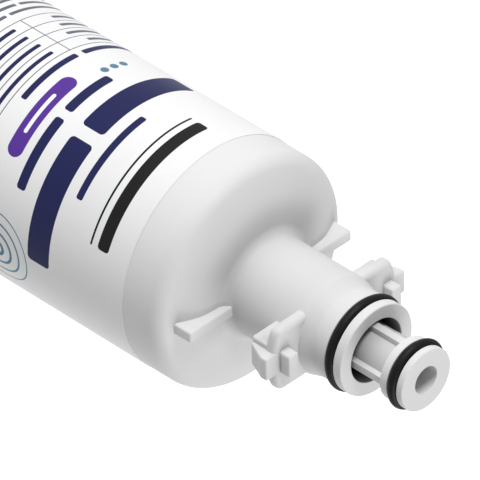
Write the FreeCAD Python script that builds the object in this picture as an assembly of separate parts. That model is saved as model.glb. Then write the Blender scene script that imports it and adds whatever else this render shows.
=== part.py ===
import FreeCAD, Part
import math
import os

from FreeCAD import Vector

# Fridge water filter cartridge, standing on its closed end with the spigot up.
# Millimetres. The origin is the centre of the foot, +Z runs up the cartridge's axis,
# and the two bayonet lugs lie on +X and -X.

# Side wall and shoulder of the housing
body_diameter = 62.0
body_wall = 2.5
neck_root_height = 182.2  # height of the shoulder where the neck rises from it
crown_width = 8.0  # ring of the shoulder round the neck's root
crown_slope = 4.0  # degrees, falling away from the neck
crown_round = 14.0  # from the crown into the outer slope
shoulder_slope = 26.0  # degrees, falling from the crown to the side wall
shoulder_round = 4.5  # from the outer slope into the side wall

# Neck
neck_diameter = 26.0
neck_wall = 2.8
neck_length = 36.6  # from the shoulder to the neck's end face
neck_root_round = 3.0
waist_diameter = 23.6  # slimmer stretch behind the seal groove
waist_depth = 9.7  # from the end face down to the foot of the waist
waist_taper = 4.0  # length of the taper from the waist to the neck
nose_diameter = 24.2  # ring in front of the seal groove
nose_length = 2.5
mouth_diameter = 16.8
mouth_length = 11.0
mouth_taper = 3.0  # length of the taper from the mouth to the neck's inside

# Bayonet lugs, evenly spaced about the neck
lug_count = 2
lug_depth = 13.2  # from the neck's end face down to the lug plate's front
plate_reach = 20.8  # radius of the plate's outer end
plate_width = 17.8
plate_thickness = 2.9
plate_corner_round = 2.0
plate_front_round = 1.3
plate_back_round = 0.4
shelf_reach = 20.3
shelf_width = 9.0
shelf_length = 5.0
shelf_corner_round = 0.9
tooth_reach = 23.35
tooth_width = 6.4
tooth_heel = 0.6  # step from the shelf's end out to the foot of the tooth's ramp
tooth_length = 7.4  # from the plate's front back to the heel
tooth_land = 1.9  # straight stretch at the tooth's tip, before its ramp
tooth_round = 0.8  # from the land into the ramp
stop_reach = 18.9
stop_depth = 3.1
stop_width = 6.3
stop_height = 3.2

# Fins on the shoulder, in line with the lugs
fin_reach = 27.1
fin_thickness = 3.1
fin_rise = 2.0  # above the shoulder at the neck

# Spigot
spigot_reach = 16.2  # from the neck's end face to the spigot's tip
spigot_diameter = 12.4
spigot_bore = 7.3
tip_flange_diameter = 16.5
tip_flange_length = 1.9
back_flange_diameter = 16.6
back_flange_length = 2.2
spigot_rib_count = 4
spigot_rib_width = 2.1
spigot_rib_diameter = 15.3
spigot_rib_length = 30.0
spigot_root_flare = 4.0  # cone at the spigot's foot, on the end cap

# Seals
neck_seal_section = 2.62
neck_seal_stand_out = 0.6  # beyond the neck's nose
spigot_seal_section = 2.62
spigot_seal_stand_out = 0.9  # beyond the spigot's tip flange
seal_side_gap = 0.2
seal_seat_gap = 0.02

# Filter block and its end caps
flow_gap = 3.4  # open ring between the net and the side wall
block_headroom = 7.42  # between the upper end cap and the start of the shoulder's curve
block_core_diameter = 14.0
wrap_thickness = 1.5
net_thickness = 0.8
end_cap_floor = 2.5
end_cap_skirt = 5.0
end_cap_wall = 1.2
end_cap_stub_length = 8.0
stub_gap = 0.3  # between an end cap's stub and the block's core
skirt_gap = 0.2  # between an end cap's skirt and the net

# Bottom cap
weld_height = 6.0  # height of the weld line above the foot
cap_floor = 3.0
cap_edge_round = 2.5
foot_recess = 1.5
foot_width = 7.0
plug_length = 6.0
plug_wall = 2.2
plug_gap = 0.1  # between the plug and the side wall's inside
collar_bore = 12.6
collar_wall = 1.6
collar_gap = 0.3  # between the collar and the blind end cap's boss
boss_length = 5.0
cap_rib_count = 6
cap_rib_thickness = 1.8

# Label
label_film = 0.15
label_top_margin = 8.52  # below the start of the shoulder's curve
label_bottom_margin = 8.0  # above the weld line
label_overlap = 6.0
label_seam_angle = 120.0  # degrees from +X

# Small edges of the mouldings
edge_round = 0.35

# Angles in degrees
right_angle = 90.0
full_turn = 360.0

# Radii that other pieces fit to
body_radius = body_diameter / 2
inner_radius = body_radius - body_wall
neck_radius = neck_diameter / 2
neck_inner_radius = neck_radius - neck_wall
crown_radius = neck_radius + crown_width
nose_radius = nose_diameter / 2
waist_radius = waist_diameter / 2
mouth_radius = mouth_diameter / 2
spigot_radius = spigot_diameter / 2
bore_radius = spigot_bore / 2
tip_radius = tip_flange_diameter / 2
back_flange_radius = back_flange_diameter / 2
net_radius = inner_radius - flow_gap
wrap_radius = net_radius - net_thickness
block_radius = wrap_radius - wrap_thickness
core_radius = block_core_diameter / 2
stub_radius = core_radius - stub_gap
skirt_inner_radius = net_radius + skirt_gap
skirt_radius = skirt_inner_radius + end_cap_wall
plug_radius = inner_radius - plug_gap
plug_inner_radius = plug_radius - plug_wall
collar_inner_radius = collar_bore / 2
collar_radius = collar_inner_radius + collar_wall
boss_radius = collar_inner_radius - collar_gap
neck_groove_radius = nose_radius + neck_seal_stand_out - neck_seal_section
spigot_groove_radius = tip_radius + spigot_seal_stand_out - spigot_seal_section

# Heights along the axis
crown_fall = math.tan(math.radians(crown_slope))
crown_drop = body_wall / math.cos(math.radians(crown_slope))
shoulder_fall = math.tan(math.radians(shoulder_slope))
shoulder_drop = body_wall / math.cos(math.radians(shoulder_slope))
inner_crown_radius = crown_radius - (shoulder_drop - crown_drop) / (shoulder_fall - crown_fall)
crown_height = neck_root_height - crown_fall * crown_width
shoulder_edge_height = crown_height - shoulder_fall * (body_radius - crown_radius)
inner_root_height = neck_root_height + crown_fall * neck_wall - crown_drop
inner_crown_height = inner_root_height - crown_fall * (inner_crown_radius - neck_inner_radius)
inner_edge_height = inner_crown_height - shoulder_fall * (inner_radius - inner_crown_radius)
curve_turn = math.radians(right_angle - shoulder_slope)
side_top = shoulder_edge_height - shoulder_round * math.tan(curve_turn / 2)
neck_end = neck_root_height + neck_length
neck_groove_top = neck_end - nose_length
neck_groove_bottom = neck_groove_top - neck_seal_section - 2 * seal_side_gap
lug_front = neck_end - lug_depth
plate_back = lug_front - plate_thickness
shelf_back = plate_back - shelf_length
fin_top = neck_root_height + fin_rise
tip = neck_end + spigot_reach
spigot_groove_top = tip - tip_flange_length
spigot_groove_bottom = spigot_groove_top - spigot_seal_section - 2 * seal_side_gap
back_flange_bottom = spigot_groove_bottom - back_flange_length
plug_top = weld_height + plug_length
cap_floor_top = foot_recess + cap_floor
block_bottom = plug_top + end_cap_floor
upper_cap_top = side_top - block_headroom
block_top = upper_cap_top - end_cap_floor
label_bottom = weld_height + label_bottom_margin
label_top = side_top - label_top_margin

origin = Vector(0, 0, 0)
axis = Vector(0, 0, 1)


def rounded_face(corners):
    """Face in the XZ plane from (x, z) or (x, z, round) corners, with an arc at each rounded corner."""
    points = [Vector(corner[0], 0, corner[1]) for corner in corners]
    rounds = [corner[2] if len(corner) > 2 else 0.0 for corner in corners]
    starts, middles, ends = [], [], []
    for index, point in enumerate(points):
        before = (points[index - 1] - point).normalize()
        after = (points[(index + 1) % len(points)] - point).normalize()
        half_angle = before.getAngle(after) / 2
        reach = rounds[index] / math.tan(half_angle)
        inward = before + after
        if rounds[index] > 0:
            inward.normalize()
        starts.append(point + before * reach)
        ends.append(point + after * reach)
        middles.append(point + inward * (rounds[index] / math.sin(half_angle) - rounds[index]))
    edges = []
    for index in range(len(points)):
        if rounds[index] > 0:
            edges.append(Part.Arc(starts[index], middles[index], ends[index]).toShape())
        following = starts[(index + 1) % len(points)]
        edges.append(Part.LineSegment(ends[index], following).toShape())
    return Part.Face(Part.Wire(edges))


def turned(*corners):
    """Solid of revolution about the cartridge's axis, from (radius, height) or (radius, height, round)."""
    return rounded_face(corners).revolve(origin, axis, full_turn)


def tube(outer, inner, bottom, top):
    """Plain round tube about the cartridge's axis."""
    return turned((inner, bottom), (outer, bottom), (outer, top), (inner, top))


def slab(corners, width):
    """Solid of the given width across Y, centred on the XZ plane, from (x, z) or (x, z, round) corners."""
    face = rounded_face(corners)
    face.translate(Vector(0, -width / 2, 0))
    return face.extrude(Vector(0, width, 0))


def around(shape, count):
    """The shape and its copies, evenly spaced about the cartridge's axis."""
    copies = []
    for index in range(count):
        copy = shape.copy()
        copy.rotate(origin, axis, index * full_turn / count)
        copies.append(copy)
    return copies


def joined(first, others):
    """One solid from pieces that are moulded together."""
    return first.fuse(others).removeSplitter()


def lug_plate():
    """Cross plate of a lug: straight sides, an outer end on a circle about the axis, soft edges."""
    foot = Vector(0, 0, plate_back)
    middle = plate_back + plate_thickness / 2
    block = Part.makeBox(plate_reach, plate_width, plate_thickness, foot - Vector(0, plate_width / 2, 0))
    plate = block.common(Part.makeCylinder(plate_reach, plate_thickness, foot, axis))
    corners = [edge for edge in free_edges(plate) if stands(edge)]
    plate = plate.makeFillet(plate_corner_round, corners)
    rims = [edge for edge in free_edges(plate) if not stands(edge)]
    plate = plate.makeFillet(plate_front_round, [edge for edge in rims if edge.BoundBox.ZMin > middle])
    rims = [edge for edge in free_edges(plate) if edge.BoundBox.ZMax < plate_back + plate_back_round / 2]
    return plate.makeFillet(plate_back_round, rims)


def free_edges(plate):
    """Edges of a lug plate that aren't buried at the cartridge's axis."""
    return [edge for edge in plate.Edges if edge.CenterOfMass.x > plate_front_round]


def stands(edge):
    """Whether an edge of a lug plate runs through its thickness."""
    return edge.BoundBox.ZLength > plate_thickness / 2


def bayonet_lug():
    """Lug on the +X side: plate, shelf behind it, ramp tooth on its end and stop block in front."""
    inside_plate = plate_back + plate_thickness / 2
    heel = lug_front - tooth_length
    shelf = slab([(0, shelf_back), (shelf_reach, shelf_back, shelf_corner_round),
                  (shelf_reach, inside_plate), (0, inside_plate)], shelf_width)
    tooth = slab([(neck_radius, lug_front), (neck_radius, heel), (shelf_reach + tooth_heel, heel, edge_round),
                  (tooth_reach, lug_front - tooth_land, tooth_round),
                  (tooth_reach, lug_front, edge_round)], tooth_width)
    stop_inner = stop_reach - stop_depth
    stop_top = lug_front + stop_height
    stop = slab([(stop_inner, inside_plate), (stop_reach, inside_plate),
                 (stop_reach, stop_top, edge_round), (stop_inner, stop_top, edge_round)], stop_width)
    return joined(lug_plate(), [shelf, tooth, stop])


def shoulder_fin():
    """Fin on the +X side of the shoulder, level along its top and sunk into the wall below."""
    root = neck_radius - neck_wall / 2
    fin = slab([(root, side_top), (fin_reach, side_top), (fin_reach, fin_top), (root, fin_top)],
               fin_thickness)
    top_edges = [edge for edge in fin.Edges if edge.BoundBox.ZMin > side_top + edge_round]
    return fin.makeFillet(edge_round, top_edges)


def housing():
    """Canister moulding: side wall, shoulder with fins, and neck with its seal groove and lugs."""
    outside = turned(
        (0, weld_height), (body_radius, weld_height),
        (body_radius, shoulder_edge_height, shoulder_round), (crown_radius, crown_height, crown_round),
        (neck_radius, neck_root_height, neck_root_round),
        (neck_radius, neck_end - waist_depth - waist_taper),
        (waist_radius, neck_end - waist_depth),
        (waist_radius, neck_groove_bottom), (neck_groove_radius, neck_groove_bottom),
        (neck_groove_radius, neck_groove_top), (nose_radius, neck_groove_top),
        (nose_radius, neck_end, edge_round), (0, neck_end))
    cavity = turned(
        (0, 0), (inner_radius, 0),
        (inner_radius, inner_edge_height, shoulder_round - body_wall),
        (inner_crown_radius, inner_crown_height, crown_round - body_wall),
        (neck_inner_radius, inner_root_height),
        (neck_inner_radius, neck_end - mouth_length - mouth_taper),
        (mouth_radius, neck_end - mouth_length), (mouth_radius, tip), (0, tip))
    solid = joined(outside, around(bayonet_lug(), lug_count) + around(shoulder_fin(), lug_count))
    return solid.cut(cavity)


def outlet_end_cap():
    """End cap over the top of the filter block, with the ribbed outlet spigot that leaves by the neck."""
    solid = turned(
        (0, block_top - end_cap_stub_length), (stub_radius, block_top - end_cap_stub_length),
        (stub_radius, block_top), (skirt_inner_radius, block_top),
        (skirt_inner_radius, block_top - end_cap_skirt), (skirt_radius, block_top - end_cap_skirt),
        (skirt_radius, upper_cap_top), (spigot_radius + spigot_root_flare, upper_cap_top),
        (spigot_radius, upper_cap_top + spigot_root_flare),
        (spigot_radius, back_flange_bottom), (back_flange_radius, back_flange_bottom),
        (back_flange_radius, spigot_groove_bottom), (spigot_groove_radius, spigot_groove_bottom),
        (spigot_groove_radius, spigot_groove_top), (tip_radius, spigot_groove_top),
        (tip_radius, tip, edge_round), (0, tip))
    rib_top = back_flange_bottom + back_flange_length / 2
    rib_bottom = back_flange_bottom - spigot_rib_length
    rib_inner = (bore_radius + spigot_radius) / 2
    rib = slab([(rib_inner, rib_bottom), (spigot_rib_diameter / 2, rib_bottom, edge_round),
                (spigot_rib_diameter / 2, rib_top), (rib_inner, rib_top)], spigot_rib_width)
    bore = Part.makeCylinder(bore_radius, tip, origin, axis)
    return joined(solid, around(rib, spigot_rib_count)).cut(bore)


def blind_end_cap():
    """Closed end cap under the filter block, with the boss that centres it in the bottom cap."""
    return turned(
        (0, plug_top - boss_length), (boss_radius, plug_top - boss_length),
        (boss_radius, plug_top), (skirt_radius, plug_top),
        (skirt_radius, block_bottom + end_cap_skirt), (skirt_inner_radius, block_bottom + end_cap_skirt),
        (skirt_inner_radius, block_bottom), (stub_radius, block_bottom),
        (stub_radius, block_bottom + end_cap_stub_length), (0, block_bottom + end_cap_stub_length))


def bottom_cap():
    """Welded closure: foot ring, plug inside the side wall, and a ribbed collar under the filter block."""
    half_floor = foot_recess + cap_floor / 2
    shell = turned(
        (0, foot_recess), (body_radius - foot_width, foot_recess), (body_radius - foot_width, 0),
        (body_radius, 0, cap_edge_round), (body_radius, weld_height), (plug_radius, weld_height),
        (plug_radius, plug_top), (plug_inner_radius, plug_top), (plug_inner_radius, cap_floor_top),
        (0, cap_floor_top))
    collar = tube(collar_radius, collar_inner_radius, half_floor, plug_top)
    rib_inner = collar_radius - collar_wall / 2
    rib_outer = plug_radius - plug_wall / 2
    rib = slab([(rib_inner, half_floor), (rib_outer, half_floor),
                (rib_outer, plug_top), (rib_inner, plug_top)], cap_rib_thickness)
    return joined(shell, [collar] + around(rib, cap_rib_count))


def label():
    """Film wrapped once round the side wall, its last stretch lying over its first."""
    outer = body_radius + label_film
    height = label_top - label_bottom
    foot = Vector(0, 0, label_bottom)
    wrap = tube(outer, body_radius, label_bottom, label_top)
    lap = Part.makeCylinder(outer + label_film, height, foot, axis, math.degrees(label_overlap / outer))
    lap = lap.cut(Part.makeCylinder(outer - label_film / 2, height, foot, axis))
    lap.rotate(origin, axis, label_seam_angle)
    return joined(wrap, [lap])


def seal(groove_radius, section, middle):
    """O-ring lying in a groove, with its middle at the given height."""
    section_radius = section / 2
    return Part.makeTorus(groove_radius + seal_seat_gap + section_radius, section_radius,
                          Vector(0, 0, middle), axis)


pieces = {
    "housing": housing(),
    "bottom_cap": bottom_cap(),
    "label": label(),
    "outlet_end_cap": outlet_end_cap(),
    "blind_end_cap": blind_end_cap(),
    "carbon_block": tube(block_radius, core_radius, block_bottom, block_top),
    "prefilter_wrap": tube(wrap_radius, block_radius, block_bottom, block_top),
    "netting_sleeve": tube(net_radius, wrap_radius, block_bottom, block_top),
    "neck_o_ring": seal(neck_groove_radius, neck_seal_section, (neck_groove_top + neck_groove_bottom) / 2),
    "spigot_o_ring": seal(spigot_groove_radius, spigot_seal_section,
                          (spigot_groove_top + spigot_groove_bottom) / 2),
}

os.makedirs("parts", exist_ok=True)
for node, shape in pieces.items():
    shape.exportStep("parts/" + node + ".step")
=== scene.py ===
import logging
import math
from contextlib import contextmanager
from dataclasses import dataclass
from enum import Enum
from typing import Any, Callable, Iterator, Sequence, Union

import bmesh
import bpy
from mathutils import Matrix, Vector


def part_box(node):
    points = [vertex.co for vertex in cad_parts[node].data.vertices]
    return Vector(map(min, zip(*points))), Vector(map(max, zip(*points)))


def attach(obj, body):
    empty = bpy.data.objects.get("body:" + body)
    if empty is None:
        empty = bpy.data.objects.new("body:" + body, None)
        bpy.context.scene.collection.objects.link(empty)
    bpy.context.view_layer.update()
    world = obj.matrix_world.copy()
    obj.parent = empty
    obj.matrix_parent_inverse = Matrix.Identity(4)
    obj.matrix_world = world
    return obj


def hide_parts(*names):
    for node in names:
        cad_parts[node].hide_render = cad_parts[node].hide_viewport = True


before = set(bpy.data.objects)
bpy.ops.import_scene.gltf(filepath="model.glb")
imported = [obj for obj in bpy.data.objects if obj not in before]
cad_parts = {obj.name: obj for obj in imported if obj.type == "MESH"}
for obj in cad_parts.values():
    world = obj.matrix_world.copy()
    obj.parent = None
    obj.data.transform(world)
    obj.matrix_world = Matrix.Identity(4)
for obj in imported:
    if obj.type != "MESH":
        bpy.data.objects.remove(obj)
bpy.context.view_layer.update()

MM = 0.001
MERGE_REACH = 1e-4 * MM
SAME = 1e-3
FULL_TURN = 2 * math.pi
BODY = "root"
log = logging.getLogger("cartridge")

Corner = tuple[float, ...]
Triple = tuple[float, float, float]
Colour = Triple
Number = Union[float, "Signal"]
EdgeTest = Callable[[Vector, Vector], bool]


@dataclass(frozen=True)
class Extent:
    """Where a CAD node lies about the cartridge's axis, in millimetres."""

    bottom: float
    top: float
    radius: float

    @classmethod
    def of(cls, node: str) -> "Extent":
        """Measures a node of the frame.

        Args:
            node: Name of the CAD node.

        Returns:
            Its two heights and its greatest reach from the axis along X or Y, to 0.01 mm, because a
            round wall's mesh lies a little inside the true circle.
        """
        low, high = (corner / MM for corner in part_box(node))
        reach = max(high.x, high.y, -low.x, -low.y)
        return cls(round(low.z, 2), round(high.z, 2), round(reach, 2))


def deselect() -> None:
    """Leaves nothing selected."""
    bpy.ops.object.select_all(action="DESELECT")


def rounded(corners: Sequence[Corner], facet: float) -> list[Vector]:
    """Turns the corners of a closed outline into points, with an arc at each rounded corner.

    Args:
        corners: (across, up) or (across, up, rounding), in millimetres.
        facet: Largest turn between two points of an arc, in degrees.

    Returns:
        The points in order, in millimetres.
    """
    points: list[Vector] = []
    for index, corner in enumerate(corners):
        here = Vector(corner[:2])
        rounding = corner[2] if len(corner) > 2 else 0.0
        if not rounding:
            points.append(here)
            continue
        before = (Vector(corners[index - 1][:2]) - here).normalized()
        after = (Vector(corners[(index + 1) % len(corners)][:2]) - here).normalized()
        half = before.angle(after) / 2
        reach = rounding / math.tan(half)
        centre = here + (before + after).normalized() * (rounding / math.sin(half))
        start, end = here + before * reach - centre, here + after * reach - centre
        turn = math.copysign(math.pi - 2 * half, start.cross(end))
        steps = max(2, math.ceil(abs(math.degrees(turn)) / facet))
        for step in range(steps + 1):
            points.append(centre + Matrix.Rotation(turn * step / steps, 2) @ start)
    return points


def side_edges(width: float) -> EdgeTest:
    """Tells the edges that run round the two sides of a slab of this width, in millimetres."""
    return lambda a, b: abs(a.y - b.y) < SAME and abs(a.y) > width / 2 - SAME


class Join(Enum):
    """How one piece is worked into another."""

    ADD = "UNION"
    CUT = "DIFFERENCE"


class Workpiece:
    """One mesh on the bench, shaped with edit-mode operators and modifiers."""

    def __init__(self, name: str) -> None:
        """Takes the newest primitive as this piece.

        Args:
            name: Name of the object and of its mesh.
        """
        self.object = bpy.context.object
        self.object.name = name
        self.object.data.name = name

    @classmethod
    def drawn(cls, name: str, corners: Sequence[Corner], facet: float = 7.5) -> "Workpiece":
        """Draws an outline in the XZ plane, one extruded point after another, open where it meets the axis.

        Args:
            name: Name of the piece.
            corners: Corners of the outline, as `rounded` takes them.
            facet: Largest turn between two points of an arc, in degrees.

        Returns:
            A piece that holds the outline's edges.
        """
        deselect()
        bpy.ops.mesh.primitive_plane_add(size=MM)
        piece = cls(name)
        points = rounded(corners, facet)
        on_axis = corners[0][0] == corners[-1][0] == 0
        with piece.editing():
            bpy.ops.mesh.merge(type="CENTER")
            bpy.ops.transform.translate(value=(points[0].x * MM, 0, points[0].y * MM))
            for last, following in zip(points, points[1:] if on_axis else points[1:] + points[:1]):
                move = (following - last) * MM
                bpy.ops.mesh.extrude_region_move(TRANSFORM_OT_translate={"value": (move.x, 0, move.y)})
            bpy.ops.mesh.select_all(action="SELECT")
            bpy.ops.mesh.remove_doubles(threshold=MERGE_REACH)
        return piece

    @classmethod
    def turned(cls, name: str, corners: Sequence[Corner], steps: int, facet: float = 7.5) -> "Workpiece":
        """Spins an outline about the cartridge's axis.

        Args:
            name: Name of the piece.
            corners: (radius, height) or (radius, height, rounding), in millimetres.
            steps: Number of faces round the axis.
            facet: Largest turn between two points of an arc, in degrees.

        Returns:
            The turned piece, closed and facing outwards.
        """
        piece = cls.drawn(name, corners, facet)
        with piece.editing():
            bpy.ops.mesh.spin(steps=steps, angle=FULL_TURN, center=(0, 0, 0), axis=(0, 0, 1))
        piece.clean()
        return piece

    @classmethod
    def slab(cls, name: str, corners: Sequence[Corner], width: float, facet: float = 22.5) -> "Workpiece":
        """Extrudes an outline of the XZ plane across Y, centred on the plane.

        Args:
            name: Name of the piece.
            corners: Corners of the outline, as `rounded` takes them.
            width: Width across Y, in millimetres.
            facet: Largest turn between two points of an arc, in degrees.

        Returns:
            The closed slab.
        """
        piece = cls.drawn(name, corners, facet)
        with piece.editing():
            bpy.ops.mesh.edge_face_add()
            bpy.ops.transform.translate(value=(0, -width / 2 * MM, 0))
            bpy.ops.mesh.extrude_region_move(TRANSFORM_OT_translate={"value": (0, width * MM, 0)})
        piece.clean()
        return piece

    @classmethod
    def tile(cls, name: str, corners: Sequence[Corner], bottom: float, top: float) -> "Workpiece":
        """Extrudes an outline of the XY plane, alike on both sides of X, between two heights.

        Args:
            name: Name of the piece.
            corners: Corners of the outline, as `rounded` takes them.
            bottom: Height of the lower face in millimetres.
            top: Height of the upper face in millimetres.

        Returns:
            The closed tile.
        """
        piece = cls.slab(name, corners, top - bottom)
        with piece.editing():
            bpy.ops.transform.rotate(value=math.pi / 2, orient_axis="X", center_override=(0, 0, 0))
            bpy.ops.transform.translate(value=(0, 0, (bottom + top) / 2 * MM))
        return piece

    def activate(self) -> None:
        """Makes this the only selected piece."""
        deselect()
        self.object.select_set(True)
        bpy.context.view_layer.objects.active = self.object

    @contextmanager
    def editing(self) -> Iterator[None]:
        """Opens the piece in edit mode with everything selected, and closes it afterwards.

        Returns:
            A context in which the edit-mode operators act on this piece.
        """
        self.activate()
        bpy.ops.object.mode_set(mode="EDIT")
        bpy.ops.mesh.select_mode(type="VERT")
        bpy.ops.mesh.select_all(action="SELECT")
        yield
        bpy.ops.object.mode_set(mode="OBJECT")

    def pick(self, test: EdgeTest) -> None:
        """Selects the edges whose two ends pass a test.

        Args:
            test: Takes an edge's two ends, in millimetres.
        """
        bpy.ops.mesh.select_all(action="DESELECT")
        bpy.ops.mesh.select_mode(type="EDGE")
        mesh = bmesh.from_edit_mesh(self.object.data)
        for edge in mesh.edges:
            edge.select_set(test(edge.verts[0].co / MM, edge.verts[1].co / MM))
        bmesh.update_edit_mesh(self.object.data)

    def soften(self, width: float, segments: int, test: EdgeTest) -> None:
        """Rounds the edges that pass a test.

        Args:
            width: Rounding in millimetres.
            segments: Number of faces across the rounding.
            test: Takes an edge's two ends, in millimetres.
        """
        with self.editing():
            self.pick(test)
            bpy.ops.mesh.bevel(offset=width * MM, segments=segments, affect="EDGES", clamp_overlap=False)

    def clean(self) -> None:
        """Merges doubled points and turns all faces outwards."""
        with self.editing():
            bpy.ops.mesh.remove_doubles(threshold=MERGE_REACH)
            bpy.ops.mesh.normals_make_consistent(inside=False)

    def combine(self, how: Join, *tools: "Workpiece") -> None:
        """Works other pieces into this one and uses them up.

        Args:
            how: Whether they are added or cut away.
            tools: The other pieces.
        """
        for tool in tools:
            self.activate()
            modifier = self.object.modifiers.new("combine", "BOOLEAN")
            modifier.operation = how.value
            modifier.solver = "MANIFOLD"
            modifier.object = tool.object
            bpy.ops.object.modifier_apply(modifier=modifier.name)
            bpy.data.objects.remove(tool.object)

    def copies(self, count: int) -> list["Workpiece"]:
        """Copies the piece evenly about the cartridge's axis.

        Args:
            count: Number of places round the axis, this piece's own included.

        Returns:
            The copies, each with a mesh of its own.
        """
        made = []
        for index in range(1, count):
            self.activate()
            bpy.ops.object.duplicate(linked=False)
            copy = Workpiece(f"{self.object.name}_{index}")
            with copy.editing():
                bpy.ops.transform.rotate(value=FULL_TURN * index / count, orient_axis="Z",
                                         center_override=(0, 0, 0))
            made.append(copy)
        return made

    def dress(self, material: bpy.types.Material, slot: str, node: str, sharp: float = 35.0) -> None:
        """Shades the finished piece, paints it and puts it in the place of its CAD node.

        Args:
            material: The finish.
            slot: The record's material slot; not used.
            node: CAD node that the piece stands for.
            sharp: Edges that turn more than this many degrees stay sharp.
        """
        self.activate()
        bpy.ops.object.shade_smooth_by_angle(angle=math.radians(sharp))
        self.object.data.materials.clear()
        self.object.data.materials.append(material)
        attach(self.object, BODY)
        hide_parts(node)
        log.info("%s: %d faces, stands for %s", self.object.name, len(self.object.data.polygons), node)


class Signal:
    """A shader value: Python operators on it add Math nodes."""

    def __init__(self, nodes: "Nodes", socket: bpy.types.NodeSocket) -> None:
        """Wraps an output socket of a node tree."""
        self.nodes, self.socket = nodes, socket

    def apply(self, operation: str, *values: Number, clamp: bool = False) -> "Signal":
        """Adds a Math node with this value first, then others, and holds it between 0 and 1 if asked."""
        sockets = dict(enumerate((self, *values)))
        return self.nodes.value("ShaderNodeMath", {"operation": operation, "use_clamp": clamp}, sockets)

    def after(self, operation: str, value: float) -> "Signal":
        """Adds a Math node with this value second."""
        return self.nodes.value("ShaderNodeMath", {"operation": operation}, {0: value, 1: self})

    def __add__(self, other: Number) -> "Signal":
        """Sum."""
        return self.apply("ADD", other)

    __radd__ = __add__

    def __sub__(self, other: Number) -> "Signal":
        """Difference."""
        return self.apply("SUBTRACT", other)

    def __rsub__(self, other: float) -> "Signal":
        """Difference from a number."""
        return self.after("SUBTRACT", other)

    def __mul__(self, other: Number) -> "Signal":
        """Product."""
        return self.apply("MULTIPLY", other)

    __rmul__ = __mul__

    def __truediv__(self, other: Number) -> "Signal":
        """Quotient."""
        return self.apply("DIVIDE", other)

    def __rtruediv__(self, other: float) -> "Signal":
        """A number divided by this value."""
        return self.after("DIVIDE", other)

    def __or__(self, other: Number) -> "Signal":
        """The larger of two masks."""
        return self.apply("MAXIMUM", other)

    __ror__ = __or__

    def __and__(self, other: Number) -> "Signal":
        """The smaller of two masks."""
        return self.apply("MINIMUM", other)

    __rand__ = __and__

    def held(self) -> "Signal":
        """This value held between 0 and 1."""
        return self.apply("ADD", 0.0, clamp=True)


class Nodes:
    """Node tree of a material or of the room's light."""

    MIX_FIRST, MIX_SECOND, MIX_COLOUR = 6, 7, 2

    def __init__(self, tree: bpy.types.NodeTree) -> None:
        """Takes a tree over and empties it."""
        self.tree = tree
        self.tree.nodes.clear()

    def node(self, kind: str, settings: dict[str, Any], sockets: dict[Any, Any]) -> bpy.types.Node:
        """Adds a node.

        Args:
            kind: The node's type.
            settings: Its settings, set before its sockets.
            sockets: Values or links of its inputs, by name or number.

        Returns:
            The node.
        """
        made = self.tree.nodes.new(kind)
        for name, setting in settings.items():
            setattr(made, name, setting)
        for key, entry in sockets.items():
            if isinstance(entry, Signal):
                self.tree.links.new(entry.socket, made.inputs[key])
            else:
                made.inputs[key].default_value = entry
        return made

    def value(self, kind: str, settings: dict[str, Any], sockets: dict[Any, Any], out: Any = 0) -> Signal:
        """Adds a node as `node` does and gives one of its outputs, by name or number."""
        return Signal(self, self.node(kind, settings, sockets).outputs[out])

    def vector(self, operation: str, first: Any, second: Any = (0, 0, 0), out: Any = 0) -> Signal:
        """Adds a Vector Math node and gives its output 0, or Value for a length."""
        return self.value("ShaderNodeVectorMath", {"operation": operation}, {0: first, 1: second}, out)

    def place(self) -> Signal:
        """Position on the piece in metres."""
        return self.value("ShaderNodeTexCoord", {}, {}, "Object")

    def parts(self, vector: Signal) -> tuple[Signal, ...]:
        """Splits a vector into its X, Y and Z."""
        return tuple(Signal(self, out) for out in self.node("ShaderNodeSeparateXYZ", {}, {0: vector}).outputs)

    def noise(self, grain: float, detail: float = 2.0, stretch: Triple = (1, 1, 1)) -> Signal:
        """Adds a soft random pattern.

        Args:
            grain: Size of its spots in millimetres.
            detail: Number of finer layers.
            stretch: Factor on the pattern's frequency along each axis.

        Returns:
            A value about 0.5.
        """
        place = self.value("ShaderNodeMapping", {}, {"Vector": self.place(), "Scale": stretch})
        sockets = {"Vector": place, "Scale": 1 / (grain * MM), "Detail": detail}
        return self.value("ShaderNodeTexNoise", {}, sockets)

    def blend(self, mask: Number, low: Any, high: Any) -> Signal:
        """Mixes two colours.

        Args:
            mask: 0 for the first colour and 1 for the second.
            low: First colour.
            high: Second colour.

        Returns:
            The mixed colour.
        """
        sockets = {0: mask}
        for key, colour in ((self.MIX_FIRST, low), (self.MIX_SECOND, high)):
            sockets[key] = colour if isinstance(colour, Signal) else (*colour, 1)
        return self.value("ShaderNodeMix", {"data_type": "RGBA"}, sockets, self.MIX_COLOUR)

    def bump(self, height: Signal, depth: float, strength: float) -> Signal:
        """Turns relief of a depth in millimetres into the surface direction, as strongly as asked."""
        sockets = {"Height": height, "Distance": depth * MM, "Strength": strength}
        return self.value("ShaderNodeBump", {}, sockets)


class Paint(Nodes):
    """Node tree of one material, with a Principled shader at its end."""

    def __init__(self, name: str, constants: dict[str, Any]) -> None:
        """Starts a material.

        Args:
            name: Name of the material.
            constants: Values of the shader's own sockets.
        """
        self.material = bpy.data.materials.new(name)
        self.material.use_nodes = True
        super().__init__(self.material.node_tree)
        self.shader = self.node("ShaderNodeBsdfPrincipled", {}, constants)
        self.node("ShaderNodeOutputMaterial", {}, {"Surface": Signal(self, self.shader.outputs[0])})

    def feed(self, **links: Signal) -> None:
        """Links values into the shader, each named for its socket with _ for a space."""
        for name, signal in links.items():
            self.tree.links.new(signal.socket, self.shader.inputs[name.replace("_", " ")])


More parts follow.
